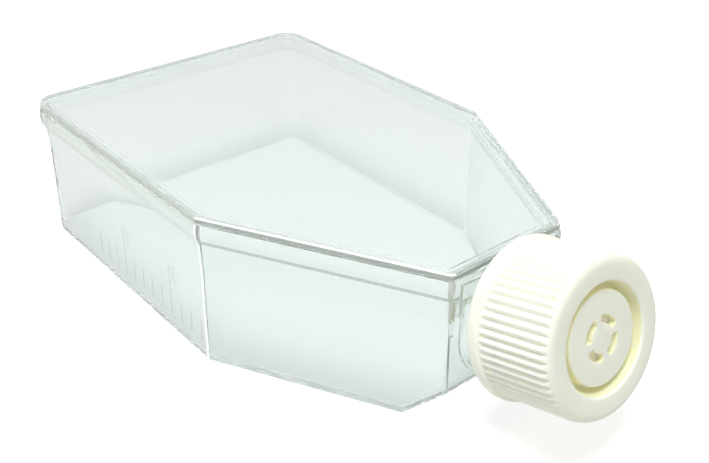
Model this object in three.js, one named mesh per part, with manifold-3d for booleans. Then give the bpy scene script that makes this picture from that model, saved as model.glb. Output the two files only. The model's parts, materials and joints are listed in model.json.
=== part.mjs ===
// Cell culture flask with a canted neck and a vented screw cap.
// Millimetres, +Z up. The flask lies on its floor, and +X points from the back wall to the neck.
// While it is built, x = 0 is the back edge of the rim and y = 0 is the plane of symmetry. The last
// lines move the origin to the middle of the bounding box's underside.
import * as THREE from 'three';
import { mergeVertices } from 'three/addons/utils/BufferGeometryUtils.js';
import Module from 'manifold-3d';

const wasm = await Module();
wasm.setup();

// ---- driving dimensions ----

// outline of the lid, seen from above
const lidWidth = 84;
const sideLength = 80.5; // straight sides, from the back edge to the shoulders
const taperLength = 50.1; // shoulders, from the straight sides to the front face
const frontWidth = 31.3;
const lidCorners = { back: 3.2, shoulder: 2, front: 2 };

// heights
const bodyHeight = 37.7; // floor to the top of the lid
const lidThickness = 1.7;
const rimDepth = 4.7; // thick band of the body under the lid
const flareHeight = 6.5; // the wall leans out to the rim over this height

// body walls; an inset is measured inwards from the lid's outline
const rimInset = -0.4; // crown of the rim, just proud of the lid
const rimEdgeInset = -0.1; // the rim's upper and lower edges
const ledgeInset = 0.25; // step under the rim
const wallInset = 0.55; // narrowest, where the flare begins
const footInset = 0; // at the floor: the wall leans out downwards
const wallThickness = 1.3;
const floorThickness = 1.4;
const rimCorners = { back: 2.6, shoulder: 1.2, front: 1 };
const wallCorners = { back: 3.2, shoulder: 1.6, front: 1.3 };
const floorEdgeRadius = 2;
const innerEdgeRadius = 1;

// weld ridge under the lid, inside the walls
const ridgeWidth = 0.9;
const ridgeDepth = 0.9;
const seamChamfer = 0.35; // groove that the weld leaves round the lid
const lidEdge = 0.6; // rounding of the lid's upper edge

// ramp in the floor, up to the neck
const rampStart = 122;
const rampRise = 8.5;

// neck, on an axis that leans up from the front face
const neckTilt = THREE.MathUtils.degToRad(16.2);
const neckHeight = 22.35; // where the axis leaves the rim's front edge
const neckLength = 24;
const neckRadius = 13.2;
const boreRadius = 11.8;
const lipRadius = 0.5; // rounding at the neck's mouth
const bossDepth = 1.4; // U-shaped boss round the neck's root
const bossRadius = 13.8;
const threadPitch = 4;
const threadTurns = 1.6;
const threadHeight = 0.9;
const threadCrestWidth = 0.96;
const threadRootWidth = 2.08;
const threadRunOut = 0.2; // turns over which the thread rises and dies away
const threadStart = 11;

// cap, measured along the neck's axis from the same point as the neck
const capStart = 6.4;
const capFace = 26;
const capRadius = 16.4;
const capInnerRadius = 14.6;
const flangeRadius = 16.8;
const flangeHeight = 2.9;
const flangeBevel = 0.4; // drop of the flange's upper edge
const ribCount = 60;
const ribDepth = 0.45;
const ribCrestShare = 0.5; // of the pitch, at the crest
const ribRootShare = 0.74; // of the pitch, at the foot
const ribEnd = 24.5;
const beltRadius = 15.4; // solid wall behind the ribs
const capEdgeRadius = 1.4;
const capTopThickness = 1.6;
const grooveRadius = 11.15; // at the face
const grooveTaper = 0.75; // the groove round the vent disc narrows downwards by this
const grooveDepth = 3.7;
const faceRounding = 0.5; // between the face and the groove
const discRadius = 9.4;
const discRecess = 1;
const discThickness = 1.3;
const plugRadius = 11.5;
const plugWall = 2.75;
const plugDepth = 4.7;
const plugLeadIn = 0.8;
const softEdge = 0.4; // small chamfers on the cap
const slotCount = 4;
const slotRadius = 3.8;
const slotWidth = 1.7;
const slotHalfAngle = THREE.MathUtils.degToRad(21);
const slotTurn = THREE.MathUtils.degToRad(52);

// vent filter
const filterRadius = 8.2;
const filterThickness = 0.4;

const fitGap = 0.3; // between pieces that touch on the real flask
const neckSegments = 48;
const capSegments = 60;

const bodyLength = sideLength + taperLength;
const seamHeight = bodyHeight - lidThickness;
const ledgeHeight = seamHeight - rimDepth;
const flareStart = ledgeHeight - flareHeight;
const innerInset = wallInset + wallThickness; // inner wall, from the flare up

// ---- materials ----

const clearPolystyrene = new THREE.MeshStandardMaterial({
  color: 0xe4efec, roughness: 0.06, metalness: 0, transparent: true, opacity: 0.3,
});
const whitePolyethylene = new THREE.MeshStandardMaterial({ color: 0xf3f3ea, roughness: 0.42, metalness: 0 });
const filterFabric = new THREE.MeshStandardMaterial({ color: 0xf6f4e8, roughness: 0.9, metalness: 0 });

// ---- solids ----

function toSolid(geometry) {
  const bare = geometry.clone();
  bare.deleteAttribute('normal');
  bare.deleteAttribute('uv');
  const merged = mergeVertices(bare, 1e-4);
  return new wasm.Manifold(new wasm.Mesh({
    numProp: 3,
    vertProperties: new Float32Array(merged.attributes.position.array),
    triVerts: new Uint32Array(merged.index.array),
  }));
}

function toGeometry(solid) {
  const mesh = solid.getMesh();
  const geometry = new THREE.BufferGeometry();
  geometry.setAttribute('position', new THREE.BufferAttribute(mesh.vertProperties, 3));
  geometry.setIndex(new THREE.BufferAttribute(mesh.triVerts, 1));
  geometry.computeVertexNormals();
  return geometry;
}

// A closed skin over rings of equal point count, each convex and counter-clockwise seen from the
// end that the rings run towards.
function loft(rings) {
  const count = rings[0].length;
  const points = rings.flat();
  const index = [];
  for (let level = 0; level < rings.length - 1; level += 1) {
    for (let i = 0; i < count; i += 1) {
      const a = level * count + i;
      const b = level * count + (i + 1) % count;
      index.push(a, b, b + count, a, b + count, a + count);
    }
  }
  const last = (rings.length - 1) * count;
  for (let i = 1; i < count - 1; i += 1) {
    index.push(0, i + 1, i);
    index.push(last, last + i, last + i + 1);
  }
  const geometry = new THREE.BufferGeometry().setFromPoints(points);
  geometry.setIndex(index);
  return geometry;
}

// A turned solid about the neck's axis; each point is a radius and a distance along the axis.
function turned(profile, segments) {
  const points = profile.map(([radius, along]) => new THREE.Vector2(radius, along));
  return alongNeck(new THREE.LatheGeometry(points, segments).rotateX(Math.PI / 2));
}

// Takes a shape built about +Z to the neck's axis.
function alongNeck(geometry) {
  geometry.rotateY(Math.PI / 2 - neckTilt);
  geometry.translate(bodyLength, 0, neckHeight);
  return geometry;
}

// A quarter round as [radius, along] points, from angle a to angle b about a centre.
function round(centreRadius, centreAlong, size, a, b, steps = 4) {
  return Array.from({ length: steps + 1 }, (_, i) => {
    const angle = THREE.MathUtils.degToRad(a + (b - a) * i / steps);
    return [centreRadius + size * Math.cos(angle), centreAlong + size * Math.sin(angle)];
  });
}

// ---- the flask's outline ----

// Fillet points at a corner, where the outline turns from one direction to the next.
function cornerPoints(corner, before, after, radius, steps) {
  const turn = before.angleTo(after);
  const reach = radius * Math.tan(turn / 2);
  const start = corner.clone().addScaledVector(before, -reach);
  const centre = start.clone().add(new THREE.Vector2(-before.y, before.x).multiplyScalar(radius));
  return Array.from({ length: steps + 1 }, (_, i) => (
    start.clone().rotateAround(centre, turn * i / steps)
  ));
}

// The outline in plan, moved inwards by inset, as a ring at height z.
function outlineRing(inset, corners, z) {
  const slope = Math.atan2((lidWidth - frontWidth) / 2, taperLength);
  const side = lidWidth / 2 - inset;
  const shoulder = sideLength - inset * Math.tan(slope / 2);
  const front = bodyLength - inset;
  const frontSide = side - (front - shoulder) * Math.tan(slope);
  const along = new THREE.Vector2(1, 0);
  const inwards = new THREE.Vector2(Math.cos(slope), Math.sin(slope));
  const across = new THREE.Vector2(0, 1);
  const right = [
    ...cornerPoints(new THREE.Vector2(inset, -side), across.clone().negate(), along, corners.back, 6),
    ...cornerPoints(new THREE.Vector2(shoulder, -side), along, inwards, corners.shoulder, 2),
    ...cornerPoints(new THREE.Vector2(front, -frontSide), inwards, across, corners.front, 3),
  ];
  const left = right.map((p) => new THREE.Vector2(p.x, -p.y)).reverse();
  return [...right, ...left].map((p) => new THREE.Vector3(p.x, p.y, z));
}

function blendCorners(from, to, share) {
  return {
    back: THREE.MathUtils.lerp(from.back, to.back, share),
    shoulder: THREE.MathUtils.lerp(from.shoulder, to.shoulder, share),
    front: THREE.MathUtils.lerp(from.front, to.front, share),
  };
}

function shrinkCorners(corners, amount) {
  return {
    back: corners.back - amount,
    shoulder: Math.max(corners.shoulder - amount, 0.3),
    front: Math.max(corners.front - amount, 0.3),
  };
}

// Rings from a flat floor up to a wall, over a rounded edge.
function floorRings(inset, corners, z, radius, steps) {
  return Array.from({ length: steps + 1 }, (_, i) => {
    const angle = Math.PI / 2 * i / steps;
    const drawIn = radius * (1 - Math.sin(angle));
    return outlineRing(inset + drawIn, shrinkCorners(corners, drawIn), z + radius * (1 - Math.cos(angle)));
  });
}

// ---- flask body ----

function bodyShell() {
  const flare = [0, 1 / 3, 2 / 3, 1].map((t) => {
    const share = t * t;
    const inset = THREE.MathUtils.lerp(wallInset, ledgeInset, share);
    return outlineRing(inset, blendCorners(wallCorners, rimCorners, share), flareStart + flareHeight * t);
  });
  const rim = [-1, -0.5, 0, 0.5, 1].map((t) => {
    const inset = THREE.MathUtils.lerp(rimInset, rimEdgeInset, t * t);
    return outlineRing(inset, rimCorners, seamHeight - rimDepth * (1 - t) / 2);
  });
  return toSolid(loft([...floorRings(footInset, wallCorners, 0, floorEdgeRadius, 4), ...flare, ...rim]));
}

function bodyCavity() {
  const corners = shrinkCorners(wallCorners, wallThickness);
  return toSolid(loft([
    ...floorRings(footInset + wallThickness, corners, floorThickness, innerEdgeRadius, 3),
    outlineRing(innerInset, corners, flareStart),
    outlineRing(innerInset, corners, seamHeight + 1),
  ]));
}

// The space under the ramp, raised by lift to make the ramp's upper surface.
function underRamp(lift) {
  const reach = 12;
  const slope = rampRise / (bodyLength - rampStart);
  const section = new THREE.Shape([
    new THREE.Vector2(rampStart - reach, lift - reach * slope),
    new THREE.Vector2(bodyLength + reach, lift + rampRise + reach * slope),
    new THREE.Vector2(bodyLength + reach, -reach * slope - 1),
    new THREE.Vector2(rampStart - reach, -reach * slope - 1),
  ]);
  const block = new THREE.ExtrudeGeometry(section, { depth: lidWidth, bevelEnabled: false });
  return toSolid(block.rotateX(Math.PI / 2).translate(0, lidWidth / 2, 0));
}

function neckBoss() {
  const top = seamHeight - neckHeight - 1;
  const shape = new THREE.Shape();
  shape.moveTo(bossRadius, top);
  shape.lineTo(-bossRadius, top);
  shape.lineTo(-bossRadius, 0);
  shape.absarc(0, 0, bossRadius, Math.PI, Math.PI * 2, false);
  const face = bodyLength - wallInset;
  const block = new THREE.ExtrudeGeometry(shape, {
    depth: bossDepth + wallThickness / 2, bevelEnabled: false, curveSegments: 16,
  });
  block.rotateY(Math.PI / 2).rotateX(Math.PI / 2);
  return toSolid(block.translate(face - wallThickness / 2, 0, neckHeight));
}

function neckTube() {
  const inner = boreRadius - 1;
  const inside = -8;
  return toSolid(turned([
    [inner, inside],
    [neckRadius, inside],
    ...round(neckRadius - lipRadius, neckLength - lipRadius, lipRadius, 0, 90, 2),
    [inner, neckLength],
    [inner, inside],
  ], neckSegments));
}

function neckThread() {
  const sunk = 0.5; // depth of the thread's foot inside the neck's wall
  const stepsPerTurn = 30;
  const steps = Math.round(threadTurns * stepsPerTurn);
  const rings = Array.from({ length: steps + 1 }, (_, i) => {
    const turn = i / stepsPerTurn;
    const angle = turn * Math.PI * 2;
    const along = threadStart + turn * threadPitch;
    const rise = Math.min(1, (turn + 0.01) / threadRunOut, (threadTurns - turn + 0.01) / threadRunOut);
    const section = [
      [neckRadius - sunk, along - threadRootWidth / 2],
      [neckRadius - sunk, along + threadRootWidth / 2],
      [neckRadius + threadHeight * rise, along + threadCrestWidth / 2],
      [neckRadius + threadHeight * rise, along - threadCrestWidth / 2],
    ];
    return section.map(([radius, z]) => (
      new THREE.Vector3(radius * Math.cos(angle), radius * Math.sin(angle), z)
    ));
  });
  return toSolid(alongNeck(loft(rings)));
}

function makeFlaskBody() {
  const innerRamp = floorThickness * Math.hypot(1, rampRise / (bodyLength - rampStart));
  const shell = bodyShell().subtract(underRamp(0));
  const cavity = bodyCavity().subtract(underRamp(innerRamp));
  const behindFace = toSolid(new THREE.BoxGeometry(40, 60, 80)
    .translate(bodyLength - wallInset - wallThickness / 2 - 20, 0, neckHeight));
  const neck = neckTube().add(neckThread()).subtract(behindFace);
  const boreEnds = [-12, neckLength + 1];
  const bore = toSolid(turned([
    [0, boreEnds[0]], [boreRadius, boreEnds[0]], [boreRadius, boreEnds[1]], [0, boreEnds[1]],
  ], neckSegments));
  return toGeometry(shell.add(neckBoss()).subtract(cavity).add(neck).subtract(bore));
}

// ---- lid ----

function makeLid() {
  const plateRing = (inset, z) => outlineRing(inset, shrinkCorners(lidCorners, inset), z);
  const rounding = lidEdge * (1 - Math.SQRT1_2);
  const plate = toSolid(loft([
    plateRing(seamChamfer, seamHeight),
    plateRing(0, seamHeight + seamChamfer),
    plateRing(0, bodyHeight - lidEdge),
    plateRing(rounding, bodyHeight - rounding),
    plateRing(lidEdge, bodyHeight),
  ]));
  const ridgeStart = innerInset + fitGap;
  const corners = shrinkCorners(wallCorners, wallThickness);
  const block = (inset, low, high) => toSolid(loft([
    outlineRing(inset, corners, low),
    outlineRing(inset, corners, high),
  ]));
  const ridgeEnd = seamHeight + seamChamfer / 2;
  const ridge = block(ridgeStart, seamHeight - ridgeDepth, ridgeEnd)
    .subtract(block(ridgeStart + ridgeWidth, seamHeight - ridgeDepth - 1, ridgeEnd + 1));
  return toGeometry(plate.add(ridge));
}

// ---- cap ----

function capCore() {
  const face = capFace;
  const discFace = face - discRecess;
  const underTop = face - capTopThickness;
  const plugEnd = face - plugDepth;
  const plugInner = plugRadius - plugWall;
  const flangeEnd = capStart + flangeHeight;
  return toSolid(turned([
    [0, discFace - discThickness],
    [plugInner, discFace - discThickness],
    [plugInner, plugEnd + softEdge],
    [plugInner + softEdge, plugEnd],
    [plugRadius - softEdge, plugEnd],
    [plugRadius, plugEnd + plugLeadIn],
    [plugRadius, underTop],
    [capInnerRadius, underTop],
    [capInnerRadius, capStart + softEdge],
    [capInnerRadius + softEdge, capStart],
    ...round(flangeRadius - softEdge, capStart + softEdge, softEdge, -90, 0, 2),
    [flangeRadius, flangeEnd - flangeBevel],
    [flangeRadius - flangeBevel, flangeEnd],
    [beltRadius, flangeEnd],
    [beltRadius, ribEnd],
    [capRadius, ribEnd],
    ...round(capRadius - capEdgeRadius, face - capEdgeRadius, capEdgeRadius, 0, 90, 4),
    ...round(grooveRadius + faceRounding, face - faceRounding, faceRounding, 90, 180, 3),
    [grooveRadius - grooveTaper, face - grooveDepth],
    [discRadius, face - grooveDepth],
    [discRadius, discFace],
    [0, discFace],
  ], capSegments));
}

function capRibs() {
  const pitch = Math.PI * 2 / ribCount;
  const crest = capRadius - 0.05; // just inside the smooth edge that the ribs run into
  const root = crest - ribDepth;
  const section = [
    [-ribRootShare / 2, root],
    [-ribCrestShare / 2, crest],
    [ribCrestShare / 2, crest],
    [ribRootShare / 2, root],
  ];
  const outline = Array.from({ length: ribCount }, (_, i) => section.map(([share, radius]) => {
    const angle = (i + share) * pitch;
    return new THREE.Vector2(radius * Math.cos(angle), radius * Math.sin(angle));
  })).flat();
  const overlap = 0.1; // into the flange and into the smooth edge
  const shape = new THREE.Shape(outline);
  const hole = new THREE.Path();
  hole.absarc(0, 0, beltRadius - overlap * 3, 0, Math.PI * 2, true);
  shape.holes.push(hole);
  const start = capStart + flangeHeight - overlap;
  const belt = new THREE.ExtrudeGeometry(shape, {
    depth: ribEnd + overlap - start, bevelEnabled: false, curveSegments: capSegments / 2,
  });
  return toSolid(alongNeck(belt.translate(0, 0, start)));
}

function ventSlots() {
  const inner = slotRadius - slotWidth / 2;
  const outer = slotRadius + slotWidth / 2;
  const half = slotHalfAngle;
  const slots = Array.from({ length: slotCount }, (_, i) => {
    const shape = new THREE.Shape();
    shape.absarc(0, 0, outer, -half, half, false);
    const endAt = (angle) => [slotRadius * Math.cos(angle), slotRadius * Math.sin(angle)];
    shape.absarc(...endAt(half), slotWidth / 2, half, half + Math.PI, false);
    shape.absarc(0, 0, inner, half, -half, true);
    shape.absarc(...endAt(-half), slotWidth / 2, Math.PI - half, Math.PI * 2 - half, false);
    const slot = new THREE.ExtrudeGeometry(shape, {
      depth: discThickness + 2, bevelEnabled: false, curveSegments: 5,
    });
    slot.rotateZ(slotTurn + i * Math.PI * 2 / slotCount);
    slot.translate(0, 0, capFace - discRecess - discThickness - 1);
    return toSolid(alongNeck(slot));
  });
  return slots.reduce((all, slot) => all.add(slot));
}

function makeCap() {
  return toGeometry(capCore().add(capRibs()).subtract(ventSlots()));
}

// The filter is welded under the vent disc; here it keeps a gap to it.
function makeVentFilter() {
  const top = capFace - discRecess - discThickness - fitGap;
  return turned([
    [0, top - filterThickness], [filterRadius, top - filterThickness], [filterRadius, top], [0, top],
  ], 40);
}

// ---- assembly ----

function addPiece(group, name, geometry, material) {
  const mesh = new THREE.Mesh(geometry, material.clone());
  mesh.name = name;
  group.add(mesh);
}

const pieces = new THREE.Group();
addPiece(pieces, 'flask_body', makeFlaskBody(), clearPolystyrene);
addPiece(pieces, 'lid', makeLid(), clearPolystyrene);
addPiece(pieces, 'cap', makeCap(), whitePolyethylene);
addPiece(pieces, 'vent_filter', makeVentFilter(), filterFabric);

const extent = new THREE.Box3().setFromObject(pieces);
pieces.position.set(-(extent.min.x + extent.max.x) / 2, 0, -extent.min.z);

const flask = new THREE.Group();
flask.add(pieces);

export default flask;
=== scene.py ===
import json
import math

import bmesh
import bpy
from mathutils import Matrix, Vector


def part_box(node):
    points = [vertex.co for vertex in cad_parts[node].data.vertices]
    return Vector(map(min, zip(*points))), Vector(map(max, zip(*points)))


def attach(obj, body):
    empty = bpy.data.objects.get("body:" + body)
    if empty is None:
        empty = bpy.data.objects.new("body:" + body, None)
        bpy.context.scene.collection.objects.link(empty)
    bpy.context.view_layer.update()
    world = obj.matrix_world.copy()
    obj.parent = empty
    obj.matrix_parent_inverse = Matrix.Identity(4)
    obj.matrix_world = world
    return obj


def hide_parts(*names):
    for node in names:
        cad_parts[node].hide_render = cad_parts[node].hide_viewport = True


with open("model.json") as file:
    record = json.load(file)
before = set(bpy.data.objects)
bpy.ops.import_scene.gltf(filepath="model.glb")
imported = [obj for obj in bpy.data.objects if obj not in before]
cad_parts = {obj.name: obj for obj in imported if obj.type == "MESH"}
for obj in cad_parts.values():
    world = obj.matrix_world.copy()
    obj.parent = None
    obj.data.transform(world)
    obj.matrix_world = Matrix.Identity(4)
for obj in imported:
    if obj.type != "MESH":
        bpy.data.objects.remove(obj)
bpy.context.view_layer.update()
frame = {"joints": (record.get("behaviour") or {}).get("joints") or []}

mm = 0.001
lidLow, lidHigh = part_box("lid")
capJoint = next(j for j in frame["joints"] if j["name"] == "cap_turn")
neckAxis = Vector(capJoint["axis"]).normalized()
neckUp = Vector((-neckAxis.z, 0, neckAxis.x))
lidBack, lidFront, halfWidth = lidLow.x, lidHigh.x, lidHigh.y
outlineMiddle = ((lidLow + lidHigh) / 2).to_tuple()

# the flask's own sizes that its pieces share; sizes are in millimetres unless a note says otherwise
flaskPlan = {
    "sideLength": 80.5,       # straight sides, back edge to shoulders
    "frontWidth": 31.3,
    "lidThickness": 1.7,
    "wallInset": 0.55,        # from the lid's outline, where the wall is narrowest
    "wallThickness": 1.3,
    "neckHeight": 22.35,      # where the neck's axis leaves the front edge
    "cornerSegments": {"back": 8, "shoulder": 4, "front": 5},
}
seamHeight = lidHigh.z - flaskPlan["lidThickness"] * mm
neckRoot = Vector((lidFront, 0, flaskPlan["neckHeight"] * mm))
frontWall = lidFront - flaskPlan["wallInset"] * mm

spare = 1                     # how far a cutting tool stands past what it cuts
# how closely an edge, a face or a corner has to match before it is picked
near = {
    "same": 0.001 * mm,
    "level": 0.01 * mm,
    "corner": 0.05 * mm,
    "turn": 0.001,            # radians
    "upright": 0.99,          # share of an edge that runs along Z
    "facing": 0.9,            # share of a normal along the axis that the face looks along
    "across": 0.3,            # share under which the face stands along the axis
}


# small tools for modelling

def beginPiece():
    if bpy.context.object and bpy.context.object.mode == "EDIT":
        bpy.ops.object.mode_set(mode="OBJECT")
    bpy.ops.object.select_all(action="DESELECT")


def useOnly(piece):
    beginPiece()
    piece.select_set(True)
    bpy.context.view_layer.objects.active = piece


def editPiece(piece):
    useOnly(piece)
    bpy.ops.object.mode_set(mode="EDIT")


def endEdit():
    bpy.ops.object.mode_set(mode="OBJECT")


def fixPlace():
    # leaves the active object at the origin, with its place in its mesh
    bpy.ops.object.transform_apply(location=True, rotation=True, scale=True)


def pick(kind, test):
    # selects the vertices, edges or faces that pass the test, in edit mode
    bpy.ops.mesh.select_mode(type=kind)
    bpy.ops.mesh.select_all(action="DESELECT")
    data = bpy.context.object.data
    mesh = bmesh.from_edit_mesh(data)
    found = {"VERT": mesh.verts, "EDGE": mesh.edges, "FACE": mesh.faces}[kind]
    for part in found:
        if test(part):
            part.select_set(True)
    mesh.select_flush_mode()
    bmesh.update_edit_mesh(data)


def middle(edge):
    return (edge.verts[0].co + edge.verts[1].co) / 2


def isUpright(edge):
    run = edge.verts[1].co - edge.verts[0].co
    return run.length > 0 and abs(run.z) > near["upright"] * run.length


def roundEdges(radius, segments, **settings):
    # rounds the picked edges
    bpy.ops.mesh.bevel(
        offset=radius, segments=segments, profile=0.5, offset_type="OFFSET", **settings)


def addBox(low, high):
    low, high = Vector(low), Vector(high)
    beginPiece()
    bpy.ops.mesh.primitive_cube_add(size=1, location=(low + high) / 2)
    bpy.ops.transform.resize(value=high - low)
    fixPlace()
    return bpy.context.object


def cutAway(place, facing):
    # takes off all that lies on the facing side of a plane, and closes the cut
    bpy.ops.mesh.select_all(action="SELECT")
    bpy.ops.mesh.bisect(
        plane_co=place, plane_no=Vector(facing).normalized(), use_fill=True, clear_outer=True,
        threshold=0.0002 * mm)


def mergeMesh(distance=0.002):
    bpy.ops.mesh.select_all(action="SELECT")
    bpy.ops.mesh.remove_doubles(threshold=distance * mm)
    bpy.ops.mesh.normals_make_consistent(inside=False)


def applyModifier(piece, kind, **settings):
    useOnly(piece)
    bpy.ops.object.modifier_add(type=kind)
    modifier = piece.modifiers[-1]
    for key, value in settings.items():
        setattr(modifier, key, value)
    bpy.ops.object.modifier_apply(modifier=modifier.name)


def combine(piece, tool, how):
    # joins the tool to the piece or cuts it out, then drops the tool
    applyModifier(piece, "BOOLEAN", object=tool, operation=how, solver="EXACT")
    bpy.data.objects.remove(tool, do_unlink=True)
    return piece


def smooth(piece, degrees):
    useOnly(piece)
    bpy.ops.object.shade_smooth_by_angle(angle=math.radians(degrees))
    applyModifier(piece, "WEIGHTED_NORMAL", keep_sharp=True, weight=80)


def placeOnNeck(piece):
    # from a shape built about +Z to the neck's axis
    turn = Matrix((neckUp.cross(neckAxis), neckUp, neckAxis)).transposed().to_4x4()
    piece.matrix_world = Matrix.Translation(neckRoot) @ turn
    useOnly(piece)
    fixPlace()


def blend(a, b, share):
    return a + (b - a) * share


def arc(centreRadius, centreAlong, radius, start, end, steps):
    points = []
    for i in range(steps + 1):
        angle = math.radians(start + (end - start) * i / steps)
        along = centreAlong + radius * math.sin(angle)
        points.append((centreRadius + radius * math.cos(angle), along))
    return points


def spinProfile(points, steps, angle=2 * math.pi):
    # a turned shape, or a sector of one, about +Z from [radius, along] points:
    # a speck of a plane is merged to one point, and that is drawn out along the profile
    beginPiece()
    bpy.ops.mesh.primitive_plane_add(size=mm)
    bpy.ops.object.mode_set(mode="EDIT")
    bpy.ops.mesh.select_mode(type="VERT")
    bpy.ops.mesh.select_all(action="SELECT")
    bpy.ops.mesh.merge(type="CENTER")
    bpy.ops.transform.translate(value=(points[0][0] * mm, 0, points[0][1] * mm))
    for (r0, s0), (r1, s1) in zip(points, points[1:]):
        bpy.ops.mesh.extrude_vertices_move(
            TRANSFORM_OT_translate={"value": ((r1 - r0) * mm, 0, (s1 - s0) * mm)})
    bpy.ops.mesh.select_all(action="SELECT")
    bpy.ops.mesh.spin(steps=steps, angle=angle, center=(0, 0, 0), axis=(0, 0, 1))
    mergeMesh()
    endEdit()
    return bpy.context.object


# outline of the flask in plan

def outlineBlock(inset, low, high, corners):
    # a block with cut front corners and rounded upright edges, moved in from the lid's outline
    taper = lidFront - lidBack - flaskPlan["sideLength"] * mm
    slope = math.atan2(halfWidth - flaskPlan["frontWidth"] * mm / 2, taper)
    inset = inset * mm
    side = halfWidth - inset
    shoulder = lidBack + flaskPlan["sideLength"] * mm - inset * math.tan(slope / 2)
    front = lidFront - inset
    block = addBox((lidBack + inset, -side, low), (front, side, high))
    bpy.ops.object.mode_set(mode="EDIT")
    for turn in (-1, 1):
        cutAway((shoulder, turn * side, low), (math.sin(slope), turn * math.cos(slope), 0))
    frontSide = side - (front - shoulder) * math.tan(slope)
    places = {
        "back": (lidBack + inset, side, math.pi / 2),
        "shoulder": (shoulder, side, slope),
        "front": (front, frontSide, math.pi / 2 - slope),
    }
    for name, (x, y, turn) in places.items():

        def atCorner(edge):
            off = max(abs(middle(edge).x - x), abs(abs(middle(edge).y) - y))
            return isUpright(edge) and off < near["corner"]

        pick("EDGE", atCorner)
        roundEdges(corners[name] * mm * math.tan(turn / 2), flaskPlan["cornerSegments"][name])
    endEdit()
    return block


def ringScale(inset, newInset):
    # how much a ring of the outline grows in plan between two insets
    halfLength = (lidFront - lidBack) / 2
    return (
        (halfLength - newInset * mm) / (halfLength - inset * mm),
        (halfWidth - newInset * mm) / (halfWidth - inset * mm), 1)


def topRing(height):
    return lambda f: (
        f.normal.z > near["facing"] and abs(f.calc_center_median().z - height) < near["level"])


def raiseProfile(block, levels):
    # draws the top face up through [inset, height] levels
    editPiece(block)
    inset, height = levels[0]
    pick("FACE", topRing(height * mm))
    for newInset, newHeight in levels[1:]:
        bpy.ops.mesh.extrude_region_move(
            TRANSFORM_OT_translate={"value": (0, 0, (newHeight - height) * mm)})
        bpy.ops.transform.resize(value=ringScale(inset, newInset), center_override=outlineMiddle)
        inset, height = newInset, newHeight
    endEdit()


def taperTop(block, inset, newInset, height):
    # moves the top face in or out, so that the walls lean
    editPiece(block)
    pick("FACE", topRing(height * mm))
    bpy.ops.transform.resize(value=ringScale(inset, newInset), center_override=outlineMiddle)
    endEdit()


# flask body

bodyShape = {
    "rimDepth": 4.7,          # thick band under the lid
    "rimCrown": -0.4,         # the band stands proud of the lid at its middle
    "rimEdge": -0.1,
    "rimFoot": 0.1,
    "rimStart": 0.01,
    "crownSteps": 10,
    "ledge": 0.25,            # step under the band
    "flareHeight": 6.5,       # the wall leans out to the band over this height
    "flareSteps": 8,
    "foot": 0,                # inset at the floor
    "floorThickness": 1.1,
    "floorRound": 0.5,
    "innerRound": 0.4,
    "roundSegments": 5,
    "rampStart": 122,         # from the lid's back edge
    "rampRise": 8.5,
    "rimCorners": {"back": 5.4, "shoulder": 1.2, "front": 1},
    "wallCorners": {"back": 5.8, "shoulder": 1.6, "front": 1.3},
    "innerCorner": 0.5,       # the inner corners are this much fuller than the wall asks for
    "bossDepth": 1.4,
    "bossRadius": 13.9,
    "bossGap": 1,             # from the boss's top to the seam
    "bossEdge": 0.3,
    "bossSegments": 24,
    "neckLength": 24,
    "neckRadius": 13.2,
    "boreRadius": 11.8,
    "lipRound": 0.5,
    "boreRound": 0.3,
    "neckSunk": 8,            # how far the neck and its bore begin inside the flask
    "boreSunk": 12,
    "neckSteps": 96,
    "seamGap": 0.03,          # air between the band and the lid
    "smooth": 32,             # degrees
    # recesses beside and in the boss: [near side, far side, foot, head, face before the wall, depth]
    "wallPockets": ((14.05, 15.2, 26, 30.9, 0, 0.7), (14.05, 15.2, 22.4, 25.7, 0, 0.35)),
    "bossPocket": (10.9, 12.9, 26.8, 31.4, 1.4, 1),
}
ledgeHeight = seamHeight / mm - bodyShape["rimDepth"]
flareStart = ledgeHeight - bodyShape["flareHeight"]


def bisectRamp(block, lift):
    # takes away what is under the ramp
    shape = bodyShape
    start = Vector((lidBack + shape["rampStart"] * mm, 0, lift * mm))
    run = Vector((lidFront - start.x, 0, shape["rampRise"] * mm))
    editPiece(block)
    cutAway(start, (run.z, 0, -run.x))
    endEdit()


def roundFloor(block, radius, floorHeight):
    # rounds the edges where the floor and the ramp meet the walls
    limit = floorHeight + (bodyShape["rampRise"] + spare) * mm

    def atFloor(edge):
        if len(edge.link_faces) != 2 or middle(edge).z > limit:
            return False
        a, b = (f.normal for f in edge.link_faces)
        upright = max(abs(a.z), abs(b.z)) < near["across"]
        lying = min(abs(a.z), abs(b.z)) > near["across"]
        return not upright and not lying

    editPiece(block)
    pick("EDGE", atFloor)
    roundEdges(radius * mm, bodyShape["roundSegments"])
    endEdit()


def crownLevels(seam):
    # the band's side as [inset, height] levels: it stands proudest at its middle
    shape, steps = bodyShape, bodyShape["crownSteps"]
    levels = [(shape["rimFoot"], ledgeHeight + shape["rimStart"])]
    for i in range(1, steps + 1):
        share = -1 + 2 * i / steps
        end = shape["rimFoot" if share < 0 else "rimEdge"]
        height = ledgeHeight + (seam - ledgeHeight) * (share + 1) / 2
        levels.append((blend(shape["rimCrown"], end, share * share), height))
    return levels


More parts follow.
